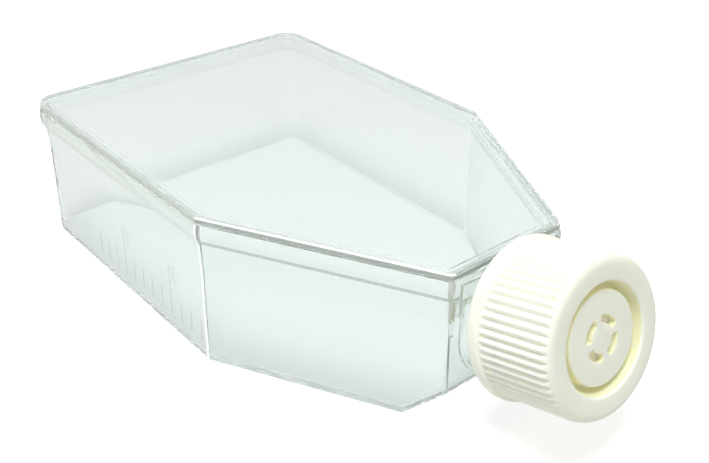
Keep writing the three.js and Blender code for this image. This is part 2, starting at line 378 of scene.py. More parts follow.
def makeWalls():
    shape, plan = bodyShape, flaskPlan
    walls = outlineBlock(shape["foot"], 0, flareStart * mm, shape["wallCorners"])
    taperTop(walls, shape["foot"], plan["wallInset"], flareStart)
    flare = []
    for i in range(shape["flareSteps"] + 1):
        inset = blend(plan["wallInset"], shape["ledge"], (i / shape["flareSteps"]) ** 2)
        flare.append((inset, flareStart + shape["flareHeight"] * i / shape["flareSteps"]))
    raiseProfile(walls, flare + [(shape["ledge"], ledgeHeight + spare)])
    bisectRamp(walls, 0)
    roundFloor(walls, shape["floorRound"], 0)
    crown = crownLevels(seamHeight / mm - shape["seamGap"])
    band = outlineBlock(shape["rimFoot"], ledgeHeight * mm, crown[0][1] * mm, shape["rimCorners"])
    raiseProfile(band, crown)
    return combine(walls, band, "UNION")


def makeCavity():
    shape, plan = bodyShape, flaskPlan
    low, wall = shape["floorThickness"], plan["wallThickness"]
    foot = shape["foot"] + wall
    inner = plan["wallInset"] + wall
    corners = {
        name: radius - wall + shape["innerCorner"] for name, radius in shape["wallCorners"].items()}
    cavity = outlineBlock(foot, low * mm, flareStart * mm, corners)
    taperTop(cavity, foot, inner, flareStart)
    raiseProfile(cavity, [(inner, flareStart), (inner, seamHeight / mm + spare)])
    rampRun = (lidFront - lidBack) / mm - shape["rampStart"]
    bisectRamp(cavity, low * math.hypot(1, shape["rampRise"] / rampRun))
    roundFloor(cavity, shape["innerRound"], low * mm)
    return cavity


def cutPockets(body, pocket):
    # the same recess on both sides of the neck
    nearSide, farSide, foot, head, face, depth = pocket
    for turn in (-1, 1):
        sides = sorted((turn * nearSide * mm, turn * farSide * mm))
        tool = addBox(
            (frontWall + (face - depth) * mm, sides[0], foot * mm),
            (frontWall + (face + 2 * spare) * mm, sides[1], head * mm))
        combine(body, tool, "DIFFERENCE")


def makeBoss():
    # a plate in front of the wall, with a half-round foot about the neck
    shape = bodyShape
    radius = shape["bossRadius"] * mm
    foot = neckRoot.z - radius
    boss = addBox(
        (frontWall - flaskPlan["wallThickness"] * mm / 2, -radius, foot),
        (frontWall + shape["bossDepth"] * mm, radius, seamHeight - shape["bossGap"] * mm))
    bpy.ops.object.mode_set(mode="EDIT")

    def atFoot(edge):
        place = middle(edge)
        return abs(place.z - foot) < near["same"] and abs(abs(place.y) - radius) < near["same"]

    pick("EDGE", atFoot)
    roundEdges(radius * 0.9999, shape["bossSegments"])    # the two arcs almost touch, then merge
    mergeMesh(0.01)
    pick("FACE", lambda f: f.normal.x > near["facing"])
    bpy.ops.mesh.region_to_loop()
    roundEdges(shape["bossEdge"] * mm, 3)
    endEdit()
    return boss


def makeNeck():
    shape = bodyShape
    length, radius, lip = shape["neckLength"], shape["neckRadius"], shape["lipRound"]
    profile = [(0, -shape["neckSunk"]), (radius, -shape["neckSunk"])]
    profile += arc(radius - lip, length - lip, lip, 0, 90, 4) + [(0, length)]
    neck = spinProfile(profile, shape["neckSteps"])
    placeOnNeck(neck)
    bpy.ops.object.mode_set(mode="EDIT")
    cutAway((frontWall - flaskPlan["wallThickness"] * mm / 2, 0, 0), (-1, 0, 0))
    endEdit()
    return neck


def makeBore():
    # the neck's bore, opening out round the lip
    shape = bodyShape
    length, radius, lip = shape["neckLength"], shape["boreRadius"], shape["boreRound"]
    profile = [(0, -shape["boreSunk"]), (radius, -shape["boreSunk"])]
    profile += [(radius + lip - r, s) for r, s in arc(0, length - lip, lip, 0, 90, 3)]
    profile += [(radius + lip, length + spare), (0, length + spare)]
    bore = spinProfile(profile, shape["neckSteps"])
    placeOnNeck(bore)
    return bore


threadShape = {
    "pitch": 4, "turns": 1.6, "start": 11, "height": 0.9, "steps": 72,
    "crestWidth": 0.96, "rootWidth": 2.08, "sunk": 0.4,
    "fade": 0.2,              # share of a turn over which each end dies away
}


def drawThreadSection(radius, height, start):
    # a square whose corners are moved one by one to the thread's section
    shape = threadShape
    beginPiece()
    bpy.ops.mesh.primitive_plane_add(size=1, rotation=(math.pi / 2, 0, 0))
    fixPlace()
    section = bpy.context.object
    foot = radius - math.copysign(shape["sunk"], height)
    bpy.ops.object.mode_set(mode="EDIT")
    for outer, up in ((False, False), (False, True), (True, False), (True, True)):
        width = shape["crestWidth"] if outer else shape["rootWidth"]
        along = start + (width if up else -width) / 2
        target = Vector(((radius + height if outer else foot) * mm, 0, along * mm))
        corner = Vector((0.5 if outer else -0.5, 0, 0.5 if up else -0.5))
        pick("VERT", lambda v: (v.co - corner).length < 0.01)
        bpy.ops.transform.translate(value=target - corner)
    endEdit()
    return section


def lowerCrest(radius, height, start, turn, share):
    # brings the crest down to a share of its height, at one step of the winding
    level, width = start + threadShape["pitch"] * turn, threadShape["crestWidth"]

    def atCrest(v):
        if not (level - width) * mm < v.co.z < (level + width) * mm:
            return False
        off = math.atan2(v.co.y, v.co.x) - 2 * math.pi * turn
        off = abs((off + math.pi) % (2 * math.pi) - math.pi)
        high = abs(math.hypot(v.co.x, v.co.y) / mm - radius - height) < 0.1
        return off < math.pi / 200 and high

    pick("VERT", atCrest)
    size = (radius + height * share) / (radius + height)
    bpy.ops.transform.resize(value=(size, size, 1), center_override=(0, 0, 0))


def makeThread(radius, height, start):
    # a coarse ridge wound about +Z, dying away at both ends; a negative height points inwards
    shape = threadShape
    thread = drawThreadSection(radius, height, start)
    turns, steps = shape["turns"], round(shape["steps"] * shape["turns"])
    applyModifier(
        thread, "SCREW", angle=2 * math.pi * turns, screw_offset=shape["pitch"] * turns * mm,
        steps=steps, render_steps=steps, axis="Z", use_merge_vertices=False)
    editPiece(thread)
    bpy.ops.mesh.select_all(action="SELECT")
    bpy.ops.mesh.fill_holes(sides=4)
    mergeMesh(0.001)
    fadeSteps = shape["steps"] * shape["fade"]
    for i in range(round(fadeSteps)):
        for turn in (i / shape["steps"], turns - i / shape["steps"]):
            lowerCrest(radius, height, start, turn, i / fadeSteps)
    endEdit()
    thread.rotation_euler.z = -math.pi / 2
    fixPlace()
    return thread


def makeFlaskBody():
    body = makeWalls()
    for pocket in bodyShape["wallPockets"]:
        cutPockets(body, pocket)
    combine(body, makeBoss(), "UNION")
    cutPockets(body, bodyShape["bossPocket"])
    combine(body, makeCavity(), "DIFFERENCE")
    combine(body, makeNeck(), "UNION")
    thread = makeThread(bodyShape["neckRadius"], threadShape["height"], threadShape["start"])
    placeOnNeck(thread)
    combine(body, thread, "UNION")
    combine(body, makeBore(), "DIFFERENCE")
    editPiece(body)
    mergeMesh(0.004)
    endEdit()
    smooth(body, bodyShape["smooth"])
    body.name = "flaskBody"
    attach(body, "flask")
    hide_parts("flask_body")
    return body


# lid

lidShape = {
    "corners": {"back": 5.6, "shoulder": 1.6, "front": 1.6},
    "edge": 0.4,
    "seamChamfer": 0.35,
    # the ridge that sits inside the walls
    "ridgeWidth": 0.9, "ridgeDepth": 0.9, "ridgeSunk": 0.2, "fitGap": 0.3,
    "ridgeCorners": {"back": 1.1, "shoulder": 0.6, "front": 0.6},
    "withinCorners": {"back": 0.4, "shoulder": 0.4, "front": 0.4},
    "smooth": 32,
}


def makeLid():
    shape, plan = lidShape, flaskPlan
    plate = outlineBlock(0, seamHeight, lidHigh.z, shape["corners"])
    bpy.ops.object.mode_set(mode="EDIT")
    for side, radius, segments in ((1, shape["edge"], 6), (-1, shape["seamChamfer"], 1)):
        pick("FACE", lambda f: f.normal.z * side > near["facing"])
        bpy.ops.mesh.region_to_loop()
        roundEdges(radius * mm, segments)
    endEdit()
    outer = plan["wallInset"] + plan["wallThickness"] + shape["fitGap"]
    low, high = seamHeight - shape["ridgeDepth"] * mm, seamHeight + shape["ridgeSunk"] * mm
    ridge = outlineBlock(outer, low, high, shape["ridgeCorners"])
    within = outlineBlock(
        outer + shape["ridgeWidth"], low - spare * mm, seamHeight + spare * mm, shape["withinCorners"])
    combine(ridge, within, "DIFFERENCE")
    combine(plate, ridge, "UNION")
    smooth(plate, shape["smooth"])
    plate.name = "flaskLid"
    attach(plate, "flask")
    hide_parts("lid")
    return plate


# graduation: upright marks on the side wall; the numbers read with the flask standing on its back

scaleShape = {
    "first": 30.1, "step": 4.42, "marks": 12,
    "low": 4.6, "short": 10.7, "long": 19,
    "width": 0.35, "relief": 0.06, "edge": 0.02, "lift": 0.01,
    "letter": 3.2, "letterGap": 0.8, "numbers": {3: "100", 8: "150"},
}


def makeMark(along, top):
    shape = scaleShape
    half = shape["width"] / 2 * mm
    mark = addBox(
        (along - half, -shape["relief"] * mm, shape["low"] * mm), (along + half, 0, top * mm))
    bpy.ops.object.mode_set(mode="EDIT")
    pick("EDGE", lambda e: middle(e).y < -near["same"])
    roundEdges(shape["edge"] * mm, 1)
    endEdit()
    return mark


def makeNumber(along, number):
    shape = scaleShape
    beginPiece()
    bpy.ops.object.text_add(location=(0, 0, 0))
    words = bpy.context.object
    words.data.body = number
    words.data.size = shape["letter"] * mm
    words.data.extrude = shape["relief"] / 2 * mm
    turn = Matrix(((0, 1, 0), (0, 0, -1), (-1, 0, 0))).to_4x4()
    words.matrix_world = Matrix.Translation((along, 0, shape["long"] * mm)) @ turn
    bpy.ops.object.convert(target="MESH")
    fixPlace()
    return bpy.context.object


def makeScale():
    shape = scaleShape
    places = [lidBack + (shape["first"] + shape["step"] * i) * mm for i in range(shape["marks"])]
    marks = [
        makeMark(along, shape["long" if i in shape["numbers"] else "short"])
        for i, along in enumerate(places)
    ]
    for i, number in shape["numbers"].items():
        marks.append(makeNumber(places[i] + shape["letterGap"] * mm, number))
    beginPiece()
    for mark in marks:
        mark.select_set(True)
    bpy.context.view_layer.objects.active = marks[0]
    bpy.ops.object.join()
    scale = bpy.context.object
    scale.rotation_euler.x = -math.atan2(flaskPlan["wallInset"], flareStart)    # leans with the wall
    scale.location.y = -halfWidth - shape["lift"] * mm
    fixPlace()
    scale.name = "mouldedScale"
    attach(scale, "flask")
    return scale


# screw cap

capShape = {
    "start": 6.4, "face": 26, "radius": 16.4, "innerRadius": 14.6,
    "flangeRadius": 17.1, "flangeHeight": 2.6,
    "flangeTop": ((0, -1.5), (0.06, -1), (0.2, -0.5)),    # [in from the flange, over its end]
    "skirtFoot": ((0.05, -0.15), (0, 0.02)),              # [out from the skirt, over the flange]
    "ribs": 60, "ribDepth": 0.68,
    # how deep the valley between two ribs is, from its middle to the next one's
    "ribWave": (1, 0.9, 0.5, 0.12, 0, 0.12, 0.5, 0.9, 1),
    # how the valleys begin above the flange: [height over it, share of the depth]
    "valleyStart": ((0.1, 0.35), (0.25, 0.7), (0.5, 0.92), (0.8, 1)),
    "edgeRound": 2, "edgeSteps": 12, "topThickness": 1.6, "faceRound": 0.5, "softEdge": 0.4,
    "grooveRadius": 11.15, "grooveTaper": 0.75, "grooveDepth": 3.7, "grooveRound": 0.35,
    "discRadius": 9.4, "discRecess": 1, "discThickness": 1.3, "discRound": 0.4,
    "plugRadius": 11.5, "plugWall": 2.75, "plugDepth": 4.7, "plugLeadIn": 0.8,
    "slots": 4, "slotRadius": 3.8, "slotWidth": 1.7, "slotSteps": 12, "slotEdge": 0.35,
    "slotHalfAngle": 21, "slotTurn": 52,                  # degrees
    "threadHeight": 1,
    "smooth": 35,
}
capFlangeEnd = capShape["start"] + capShape["flangeHeight"]
capDiscFace = capShape["face"] - capShape["discRecess"]


def capProfile():
    # the cap's section from the disc's underside, round the skirt and the groove, to the disc's face
    shape = capShape
    start, face, soft = shape["start"], shape["face"], shape["softEdge"]
    skirt, bore, flange = shape["radius"], shape["innerRadius"], shape["flangeRadius"]
    edge, rim, corner = shape["edgeRound"], shape["faceRound"], shape["grooveRound"]
    disc, discEdge = shape["discRadius"], shape["discRound"]
    plug = shape["plugRadius"]
    plugInner = plug - shape["plugWall"]
    plugEnd = face - shape["plugDepth"]
    underDisc = capDiscFace - shape["discThickness"]
    underTop = face - shape["topThickness"]
    bottom = face - shape["grooveDepth"]
    points = [(0, underDisc), (plugInner, underDisc)]
    points += [(plugInner, plugEnd + soft), (plugInner + soft, plugEnd), (plug - soft, plugEnd)]
    points += [(plug, plugEnd + shape["plugLeadIn"]), (plug, underTop)]
    points += [(bore, underTop), (bore, start + soft)]
    points += arc(bore + soft, start + soft, soft, 180, 270, 3)[1:]
    points += arc(flange - soft, start + soft, soft, -90, 0, 4)
    points += [(flange - inwards, capFlangeEnd + up) for inwards, up in shape["flangeTop"]]
    points += [(skirt + out, capFlangeEnd + up) for out, up in shape["skirtFoot"]]
    points += [(skirt, capFlangeEnd + up) for up, share in shape["valleyStart"]]
    points += arc(skirt - edge, face - edge, edge, 0, 90, shape["edgeSteps"])
    points += arc(shape["grooveRadius"] + rim, face - rim, rim, 90, 180, 5)
    grooveRoot = shape["grooveRadius"] - shape["grooveTaper"]
    points += arc(grooveRoot - corner, bottom + corner, corner, 0, -90, 3)
    points += arc(disc + corner, bottom + corner, corner, 270, 180, 3)
    points += arc(disc - discEdge, capDiscFace - discEdge, discEdge, 0, 90, 5)
    points += [(shape["slotRadius"] + shape["slotWidth"], capDiscFace), (0, capDiscFace)]
    return points


def lowerToFloor(rib, turn, level, floor):
    # brings one column of the skirt in to the valley's floor, where it stands beyond it

    def aboveFloor(v):
        beyond = math.hypot(v.co.x, v.co.y) > floor + near["same"]
        atTurn = abs(math.atan2(v.co.y, v.co.x) - turn) < near["turn"]
        return abs(v.co.z - level * mm) < near["same"] and beyond and atTurn

    pick("VERT", aboveFloor)
    chosen = [v for v in bmesh.from_edit_mesh(rib.data).verts if v.select]
    if chosen:
        size = floor / math.hypot(chosen[0].co.x, chosen[0].co.y)
        bpy.ops.transform.resize(value=(size, size, 1), center_override=(0, 0, 0))


def makeRibs():
    # one rib's sector of the cap, with a valley's half on each side that runs out at the rounded
    # edge; its copies stand all round
    shape = capShape
    ribs, columns, edge = shape["ribs"], len(shape["ribWave"]) - 1, shape["edgeRound"]
    rib = spinProfile(capProfile(), columns, 2 * math.pi / ribs)
    bpy.ops.object.mode_set(mode="EDIT")
    levels = [(capFlangeEnd + up, share) for up, share in shape["valleyStart"]]
    levels += [(z, 1) for r, z in arc(0, shape["face"] - edge, edge, 0, 90, shape["edgeSteps"])]
    for column, wave in enumerate(shape["ribWave"]):
        turn = -2 * math.pi / ribs * column / columns
        for level, share in levels:
            floor = (shape["radius"] - shape["ribDepth"] * wave * share) * mm
            lowerToFloor(rib, turn, level, floor)
    bpy.ops.mesh.select_all(action="SELECT")
    bpy.ops.mesh.spin(
        steps=ribs - 1, dupli=True, angle=2 * math.pi * (ribs - 1) / ribs, center=(0, 0, 0),
        axis=(0, 0, 1))
    mergeMesh()
    endEdit()
    return rib


def makeSlot(turn):
    # a curved bar with round ends, which cuts one slot through the disc
    shape = capShape
    inner = (shape["slotRadius"] - shape["slotWidth"] / 2) * mm
    outer = (shape["slotRadius"] + shape["slotWidth"] / 2) * mm
    high = (capDiscFace + spare) * mm
    low = high - (shape["discThickness"] + 2 * spare) * mm
    half = math.radians(shape["slotHalfAngle"]) + shape["slotWidth"] / 2 / shape["slotRadius"]
    beginPiece()
    bpy.ops.mesh.primitive_plane_add(size=1, rotation=(math.pi / 2, 0, 0))
    fixPlace()
    slot = bpy.context.object
    bpy.ops.object.mode_set(mode="EDIT")
    bpy.ops.mesh.select_all(action="SELECT")
    bpy.ops.transform.resize(value=(outer - inner, 1, high - low), center_override=(0, 0, 0))
    bpy.ops.transform.translate(value=((outer + inner) / 2, 0, (high + low) / 2))
    bpy.ops.mesh.spin(steps=shape["slotSteps"], angle=2 * half, center=(0, 0, 0), axis=(0, 0, 1))
    mergeMesh(0.001)
    angles = [math.atan2(v.co.y, v.co.x) for v in bmesh.from_edit_mesh(slot.data).verts]
    ends = (min(angles), max(angles))

    def atEnd(edge):
        angle = math.atan2(middle(edge).y, middle(edge).x)
        return isUpright(edge) and min(abs(angle - end) for end in ends) < 0.01

    pick("EDGE", atEnd)
    roundEdges((outer - inner) * 0.499, 6)                # just under half, so the ends stay open
    endEdit()
    slot.rotation_euler.z = turn - sum(ends) / 2
    fixPlace()
    return slot


def softenSlots(cap):
    # rounds the slots' outer rims
    shape = capShape

    outside = (shape["slotRadius"] + shape["slotWidth"]) * mm

    def atRim(edge):
        if len(edge.link_faces) != 2:
            return False
        if any(abs(v.co.z - capDiscFace * mm) > near["same"] for v in edge.verts):
            return False
        if math.hypot(middle(edge).x, middle(edge).y) > outside:
            return False
        return min(abs(f.normal.z) for f in edge.link_faces) < near["across"]

    editPiece(cap)
    pick("EDGE", atRim)
    roundEdges(shape["slotEdge"] * mm, 3, clamp_overlap=True)
    endEdit()


def makeCap():
    shape = capShape
    cap = makeRibs()
    for i in range(shape["slots"]):
        turn = math.radians(shape["slotTurn"]) + i * 2 * math.pi / shape["slots"] + math.pi / 2
        combine(cap, makeSlot(turn), "DIFFERENCE")
    softenSlots(cap)
    # the cap's own thread lies half a pitch below the neck's
    threadStart = threadShape["start"] - threadShape["pitch"] / 2
    thread = makeThread(shape["innerRadius"], -shape["threadHeight"], threadStart)
    useOnly(cap)
    thread.select_set(True)
    bpy.ops.object.join()
    placeOnNeck(cap)
    smooth(cap, shape["smooth"])
    cap.name = "screwCap"
    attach(cap, "screw_cap")
    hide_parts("cap")
    return cap


# vent filter, a thin disc under the cap's own, pressed a little thinner inside its welded rim

filterShape = {
    "radius": 8.2, "thickness": 0.4, "gap": 0.3, "edge": 0.1,
    "rimWidth": 1.1, "rimFoot": 1.3, "rimHeight": 0.08,
    "steps": 72, "smooth": 35,
}


def makeVentFilter():
    shape = filterShape
    radius, edge = shape["radius"], shape["edge"]
    top = capDiscFace - capShape["discThickness"] - shape["gap"]
    low, dish = top - shape["thickness"], top - shape["rimHeight"]
    profile = [(0, low)] + arc(radius - edge, low + edge, edge, -90, 0, 3)
    profile += arc(radius - edge, top - edge, edge, 0, 90, 3)
    profile += [(radius - shape["rimWidth"], top), (radius - shape["rimFoot"], dish), (0, dish)]
    disc = spinProfile(profile, shape["steps"])
    placeOnNeck(disc)
    smooth(disc, shape["smooth"])
    disc.name = "ventFilter"
    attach(disc, "filter_carrier")
    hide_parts("vent_filter")
    return disc


# materials; the widths and heights of their patterns are in millimetres

def toLinear(code):
    parts = [int(code[i:i + 2], 16) / 255 for i in (1, 3, 5)]
    return [p / 12.92 if p <= 0.04045 else ((p + 0.055) / 1.055) ** 2.4 for p in parts] + [1]


def addNode(tree, kind, settings=None, links=None):
    # a whole number as a key is a socket's place, for sockets that share a name
    node = tree.nodes.new(kind)
    for key, value in (settings or {}).items():
        if isinstance(key, int) or key in node.inputs:
            node.inputs[key].default_value = value
        else:
            setattr(node, key, value)
    for key, source in (links or {}).items():
        tree.links.new(source, node.inputs[key])
    return node


def newMaterial(name):
    material = bpy.data.materials.new(name)
    material.use_nodes = True
    material.node_tree.nodes.clear()
    return material, material.node_tree


# clear moulded polystyrene: the weld is duller, and its dark grey-green is painted shade; the thick
# band is a little green; the deep recesses carry painted yellowish shade with the cap's colour painted
# in as a reflection; and the rounded edges carry a painted highlight and a painted glow for light that
# runs in the walls
polystyreneFinish = {
    "clearMouldedPolystyrene": {"tint": "#FAFDFC", "clear": 0.92, "roughness": 0.02, "glow": 0},
    # painted shade: a dark grey-green, half-clear seam at the shoulders and the front, over the weld's
    # duller gloss
    "polystyreneWithPaintedSeamShade": {"tint": "#A9AFA8", "clear": 0.45, "roughness": 0.4, "glow": 0},
    # painted shade: a lighter copy for the seam along the sides and back, and for the painted shadow
    # line under the band
    "polystyreneWithLighterPaintedShade": {"tint": "#D6DDD7", "clear": 0.35, "roughness": 0.4, "glow": 0},
    # painted shade: the pockets beside the neck, yellowish and half clear, with the cap's colour
    # painted in as a reflection
    "polystyreneWithPaintedPocketShade": {"tint": "#DADDC8", "clear": 0.55, "roughness": 0.3, "glow": 0},
    "thickPolystyreneBand": {"tint": "#F1F7F3", "clear": 0.86, "roughness": 0.08, "glow": 0},
    # painted highlight: a whitish, nearly matt strip with a painted glow, for light that runs inside
    # the walls and leaves at the edges
    "polystyreneWithPaintedEdgeHighlight": {"tint": "#DDE2E1", "clear": 0.1, "roughness": 0.5, "glow": 0.5},
}
polystyreneBasics = {
    "ior": 1.59,
    "lampTint": "#FCFEFE", "lampEdge": "#202221", "grazing": 4,    # the shadow of a thin clear wall
    "waveWidth": 22.2, "waveHeight": 0.06,                         # soft swells of the moulded sheet
    "smudgeWidth": 7.7, "smudge": 0.04,                            # patches of slightly duller gloss
}


def makePolystyrene(name):
    # thin, bright walls with a cool cast: the sheet is a little wavy, and its gloss is slightly uneven
    basics, finish = polystyreneBasics, polystyreneFinish[name]
    material, tree = newMaterial(name)
    place = addNode(tree, "ShaderNodeTexCoord").outputs["Object"]
    wave = addNode(
        tree, "ShaderNodeTexNoise",
        {"Scale": 1 / (basics["waveWidth"] * mm), "Detail": 1, "Roughness": 0.3}, {"Vector": place})
    bump = addNode(
        tree, "ShaderNodeBump", {"Strength": 1, "Distance": basics["waveHeight"] * mm},
        {"Height": wave.outputs[0]})
    smudge = addNode(
        tree, "ShaderNodeTexNoise", {"Scale": 1 / (basics["smudgeWidth"] * mm), "Detail": 3},
        {"Vector": place})
    gloss = addNode(tree, "ShaderNodeMapRange", {
        "From Min": 0.35, "From Max": 0.75, "To Min": finish["roughness"],
        "To Max": finish["roughness"] + basics["smudge"],
    }, {"Value": smudge.outputs[0]})
    plastic = addNode(tree, "ShaderNodeBsdfPrincipled", {
        "Base Color": toLinear(finish["tint"]), "Transmission Weight": finish["clear"],
        "IOR": basics["ior"], "Emission Color": toLinear(finish["tint"]),
        "Emission Strength": finish["glow"],
    }, {"Roughness": gloss.outputs[0], "Normal": bump.outputs[0]})
    # a lamp's light goes straight through, and is lost where it meets a wall at a grazing angle
    facing = addNode(tree, "ShaderNodeLayerWeight", {"Blend": 0.5})
    grazing = addNode(
        tree, "ShaderNodeMath", {"operation": "POWER", 1: basics["grazing"]},
        {0: facing.outputs["Facing"]})
    shade = addNode(
        tree, "ShaderNodeMix", {"data_type": "RGBA"}, {"Factor": grazing.outputs[0]})
    shade.inputs[6].default_value = toLinear(basics["lampTint"])
    shade.inputs[7].default_value = toLinear(basics["lampEdge"])
    shadow = addNode(tree, "ShaderNodeBsdfTransparent", links={"Color": shade.outputs[2]})
    veil = addNode(tree, "ShaderNodeBsdfTransparent", {"Color": toLinear(basics["lampTint"])})
    path = addNode(tree, "ShaderNodeLightPath")
    lit = addNode(tree, "ShaderNodeMixShader", links={
        0: path.outputs["Is Shadow Ray"], 1: plastic.outputs[0], 2: shadow.outputs[0]})
    surface = addNode(tree, "ShaderNodeMixShader", links={
        0: path.outputs["Is Diffuse Ray"], 1: lit.outputs[0], 2: veil.outputs[0]})
    addNode(tree, "ShaderNodeOutputMaterial", links={"Surface": surface.outputs[0]})
    return material


# white moulded polyethylene: the plain skin, and a copy for the groove and the slots with painted
# warm,
# # darker shade and a faint painted glow, in place of light that soaks through the wall and comes back
# warmer
polyethyleneFinish = {
    "whiteMouldedPolyethylene": {
        "colour": "#F6F6EC", "shade": "#F2F3E5", "depth": 0.5, "reach": 2.2, "glow": 0},
    # painted shade: warmer, darker ivory for the groove and the slots, with a faint painted glow
    "polyethyleneWithPaintedGrooveShade": {
        "colour": "#EBE8C8", "shade": "#E6E3BE", "depth": 0.4, "reach": 3, "glow": 0.1},
}
polyethyleneBasics = {
    "ior": 1.54, "roughness": (0.36, 0.5),
    "spread": (1, 0.9, 0.5),                       # red light soaks in furthest
    "grainWidth": 0.385, "grainHeight": 0.02,      # coarser than the real 0.1, so that it shows
    "mottleWidth": 11.1,
}


def makePolyethylene(name):
    # satin white with a fine spark-eroded grain; light soaks in, so its shadows turn a warm ivory
    basics, finish = polyethyleneBasics, polyethyleneFinish[name]
    material, tree = newMaterial(name)
    place = addNode(tree, "ShaderNodeTexCoord").outputs["Object"]
    mottle = addNode(
        tree, "ShaderNodeTexNoise", {"Scale": 1 / (basics["mottleWidth"] * mm), "Detail": 3},
        {"Vector": place})
    tone = addNode(tree, "ShaderNodeMix", {"data_type": "RGBA"}, {"Factor": mottle.outputs[0]})
    tone.inputs[6].default_value = toLinear(finish["colour"])
    tone.inputs[7].default_value = toLinear(finish["shade"])
    grain = addNode(
        tree, "ShaderNodeTexNoise", {"Scale": 1 / (basics["grainWidth"] * mm), "Detail": 2},
        {"Vector": place})
    bump = addNode(
        tree, "ShaderNodeBump", {"Strength": 0.5, "Distance": basics["grainHeight"] * mm},
        {"Height": grain.outputs[0]})
    low, high = basics["roughness"]
    gloss = addNode(
        tree, "ShaderNodeMapRange", {"From Min": 0.3, "From Max": 0.7, "To Min": low, "To Max": high},
        {"Value": mottle.outputs[0]})
    plastic = addNode(tree, "ShaderNodeBsdfPrincipled", {
        "IOR": basics["ior"], "Subsurface Weight": finish["depth"],
        "Subsurface Radius": basics["spread"], "Subsurface Scale": finish["reach"] * mm,
        "Emission Color": toLinear(finish["colour"]), "Emission Strength": finish["glow"],
    }, {"Base Color": tone.outputs[2], "Roughness": gloss.outputs[0], "Normal": bump.outputs[0]})
    addNode(tree, "ShaderNodeOutputMaterial", links={"Surface": plastic.outputs[0]})
    return material


membraneFinish = {
    # glow: a faint painted glow, so that the shade seen through the slots is lighter
    "colour": "#FBF9EA", "shade": "#F0EDDA", "roughness": 0.92, "glow": 0.12,
    "fibreWidth": 0.556, "fibreHeight": 0.03,      # far coarser than the real pores, so that it shows
}


def makeMembrane():
    # matt cast membrane: a dry surface, slightly fibrous, with a faint painted glow that lightens the
    # slots above it
    finish = membraneFinish
    material, tree = newMaterial("castFilterMembrane")
    place = addNode(tree, "ShaderNodeTexCoord").outputs["Object"]
    fibre = addNode(
        tree, "ShaderNodeTexNoise", {"Scale": 1 / (finish["fibreWidth"] * mm), "Detail": 5},
        {"Vector": place})
    tone = addNode(tree, "ShaderNodeMix", {"data_type": "RGBA"}, {"Factor": fibre.outputs[0]})
    tone.inputs[6].default_value = toLinear(finish["colour"])
    tone.inputs[7].default_value = toLinear(finish["shade"])
    bump = addNode(
        tree, "ShaderNodeBump", {"Strength": 1, "Distance": finish["fibreHeight"] * mm},
        {"Height": fibre.outputs[0]})
    membrane = addNode(tree, "ShaderNodeBsdfPrincipled", {
        "Roughness": finish["roughness"], "Emission Color": toLinear(finish["colour"]),
        "Emission Strength": finish["glow"],
    }, {"Base Color": tone.outputs[2], "Normal": bump.outputs[0]})
    addNode(tree, "ShaderNodeOutputMaterial", links={"Surface": membrane.outputs[0]})
    return material


reliefFinish = {"colour": "#8F9996", "show": 0.08, "roughness": (0.35, 0.55), "wearWidth": 1.43}


def makeRelief():
    # marks moulded into the wall: the same plastic with a dull surface, so they read as a faint grey
    finish = reliefFinish
    material, tree = newMaterial("dullMouldedMarks")
    place = addNode(tree, "ShaderNodeTexCoord").outputs["Object"]
    wear = addNode(
        tree, "ShaderNodeTexNoise", {"Scale": 1 / (finish["wearWidth"] * mm), "Detail": 2},
        {"Vector": place})
    low, high = finish["roughness"]
    dull = addNode(
        tree, "ShaderNodeMapRange", {"From Min": 0.3, "From Max": 0.7, "To Min": low, "To Max": high},
        {"Value": wear.outputs[0]})
    plastic = addNode(
        tree, "ShaderNodeBsdfPrincipled",
        {"Base Color": toLinear(finish["colour"]), "Alpha": finish["show"]},
        {"Roughness": dull.outputs[0]})
    addNode(tree, "ShaderNodeOutputMaterial", links={"Surface": plastic.outputs[0]})
    return material


def dress(piece, material):
    piece.data.materials.clear()
    piece.data.materials.append(material)


def dressFaces(piece, material, test):
    useOnly(piece)
    piece.data.materials.append(material)
    piece.active_material_index = len(piece.data.materials) - 1
    bpy.ops.object.mode_set(mode="EDIT")
    pick("FACE", test)
    bpy.ops.object.material_slot_assign()
    endEdit()


# which faces take which finish; a normal's share along X above this looks towards the neck
frontward = 0.1


def onSeam(face):
    # the lid's side at the shoulders and the front, which takes the darker painted seam shade
    place, normal = face.calc_center_median(), face.normal
    side = seamHeight + near["level"] < place.z < lidHigh.z - lidShape["edge"] * mm
    return normal.x > frontward and side and abs(normal.z) < 0.5


def onSideSeam(face):
    # the lid's side with its rounded edge, along the straight sides and the back: lighter painted seam
    # shade
    place, normal = face.calc_center_median(), face.normal
    side = seamHeight + near["level"] < place.z < lidHigh.z - near["corner"]
    return normal.x < frontward and side and abs(normal.z) < 0.97


def onPocket(face):
    # the walls and floors of the deeper recesses, where the eye looks along the thick rim; they take
    # painted
    #     # yellowish shade and a painted reflection of the cap's colour
    place = (face.calc_center_median() - Vector((frontWall, 0, 0))) / mm
    edge = 0.1
    for pocket in bodyShape["wallPockets"] + (bodyShape["bossPocket"],):
        nearSide, farSide, foot, head, front, depth = pocket
        across = nearSide - edge < abs(place.y) < farSide + edge
        inside = across and foot - edge < place.z < head + edge
        floor = front - depth
        if depth > 0.5 and inside and floor - edge < place.x < front + 0.9:
            return abs(place.x - floor) < edge or abs(face.normal.x) < 0.5
    return False


def onLedge(face):
    # the lowest strip of the band at the shoulders and the front: a painted shadow line under the band
    place, normal = face.calc_center_median(), face.normal
    strip = ledgeHeight - 0.1 < place.z / mm < ledgeHeight + 0.9
    return normal.x > frontward and strip and abs(normal.z) < 0.999


def onBand(face):
    # the band's outer side, along the straight sides and the back
    place, normal = face.calc_center_median(), face.normal
    outward = normal.y * place.y > 0 or normal.x < -0.5
    side = ledgeHeight * mm < place.z < seamHeight and abs(normal.z) < 0.5
    return side and outward and normal.x < frontward


